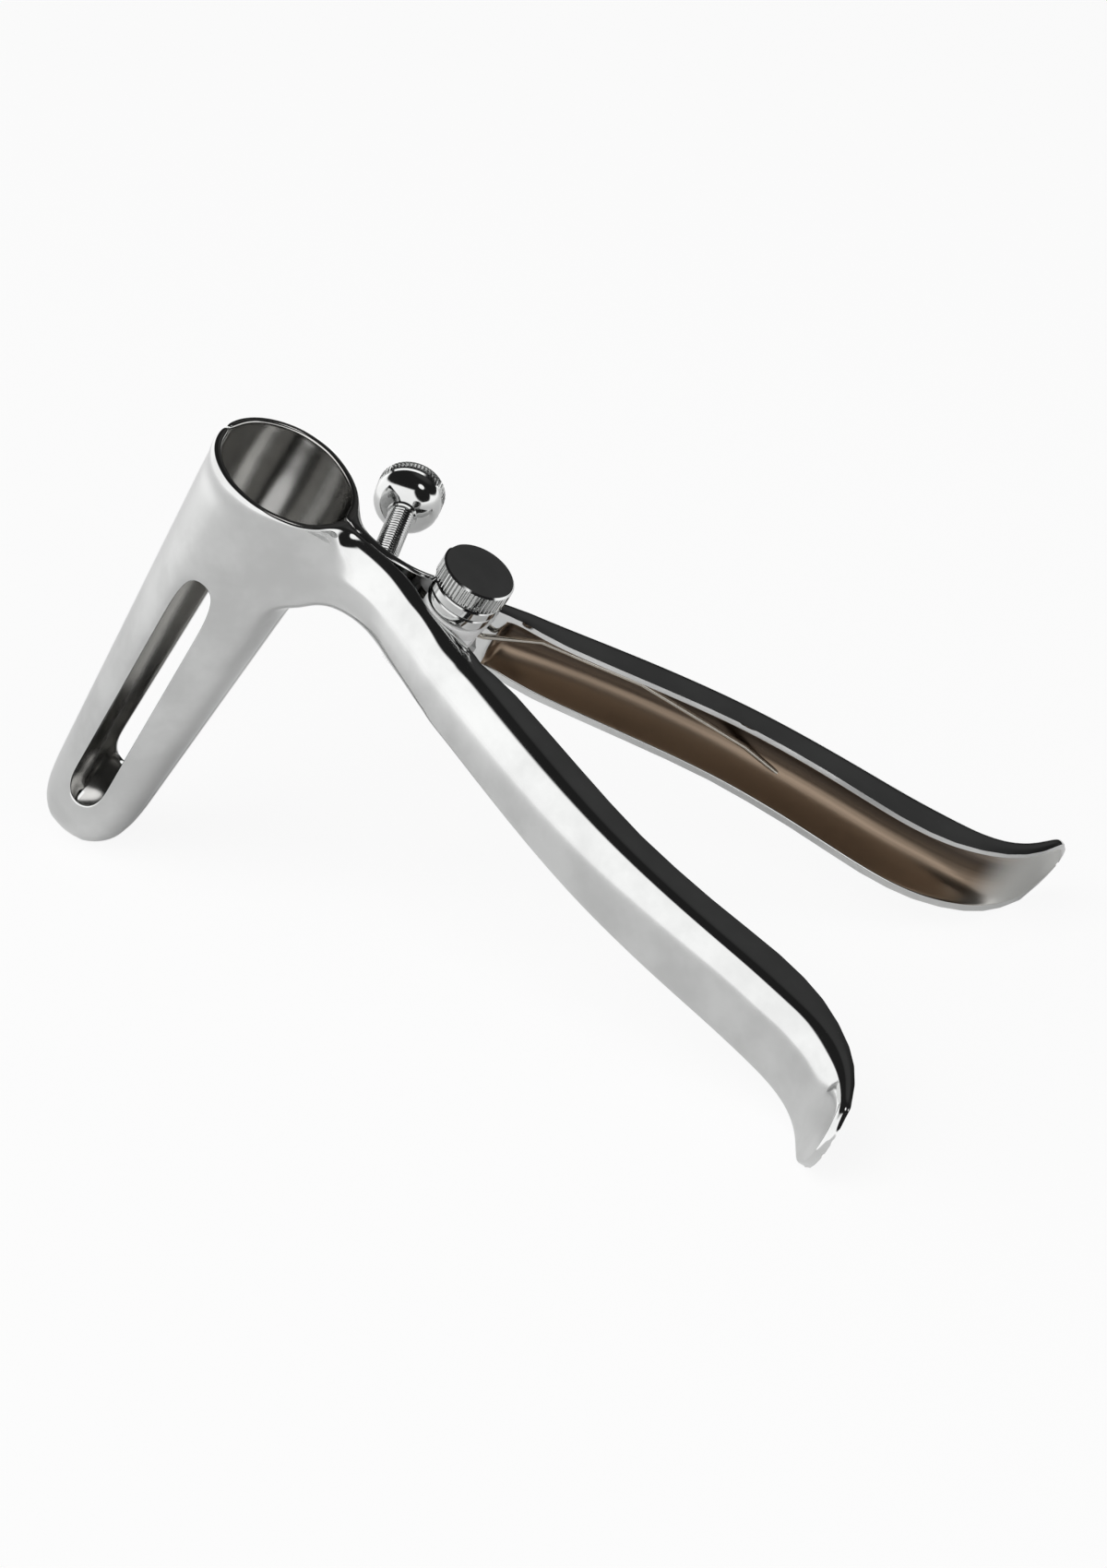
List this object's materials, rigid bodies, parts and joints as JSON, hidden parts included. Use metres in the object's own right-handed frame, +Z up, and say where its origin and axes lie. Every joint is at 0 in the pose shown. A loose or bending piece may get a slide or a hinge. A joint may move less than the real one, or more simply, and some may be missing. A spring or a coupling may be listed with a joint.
{
  "type": "anal speculum",
  "caption": "Two-blade anal speculum: spread trough handles open a tapered split tube with side windows against a coil spring, with a thumb screw pivot and a set screw stop.",
  "frame": {"origin": "centre of the underside of the bounding box, on the surface that the blade tip and the two handle tips rest on", "axes": "+X from the blades towards the handle tips, +Y from the near lever towards the far lever with its set screw, +Z up. The tube leans back, so its mouth faces up and towards the handles"},
  "size_m": [0.1935, 0.1176, 0.0954],
  "materials": {
    "lever_metal": "mirror-polished stainless steel, faintly hazed",
    "screw_metal": "polished steel with a straight knurl on the rims",
    "spring_metal": "bright drawn spring wire"
  },
  "bodies": {
    "far_lever": {"far_lever": "lever_metal", "return_spring": "spring_metal"},
    "near_lever": {"near_lever": "lever_metal"},
    "pivot_screw": {"pivot_screw": "screw_metal"},
    "set_screw": {"set_screw_rod": "screw_metal", "set_screw_head": "screw_metal"}
  },
  "joints": [
    {"name": "blade_opening", "type": "hinge", "parent": "far_lever", "child": "near_lever", "pos_m": [-0.00978, 0, 0.06034], "axis": [0.5086, 0, 0.861], "range_deg": [0, 35], "stiffness_Nm_per_rad": 0.12, "springref_deg": -20.05, "deforming": ["return_spring"]},
    {"name": "pivot_screw_turn", "type": "hinge", "parent": "near_lever", "child": "pivot_screw", "pos_m": [-0.00571, 0, 0.06722], "axis": [0.5086, 0, 0.861], "range_deg": [0, 180]},
    {"name": "set_screw_travel", "type": "slide", "parent": "far_lever", "child": "set_screw", "axis": [0.2373, -0.9613, -0.1402], "range_m": [0, 0.0098]}
  ],
  "couplings": [
    {"joint": "set_screw_travel", "follows": "blade_opening", "m_per_rad": 0.01598}
  ]
}
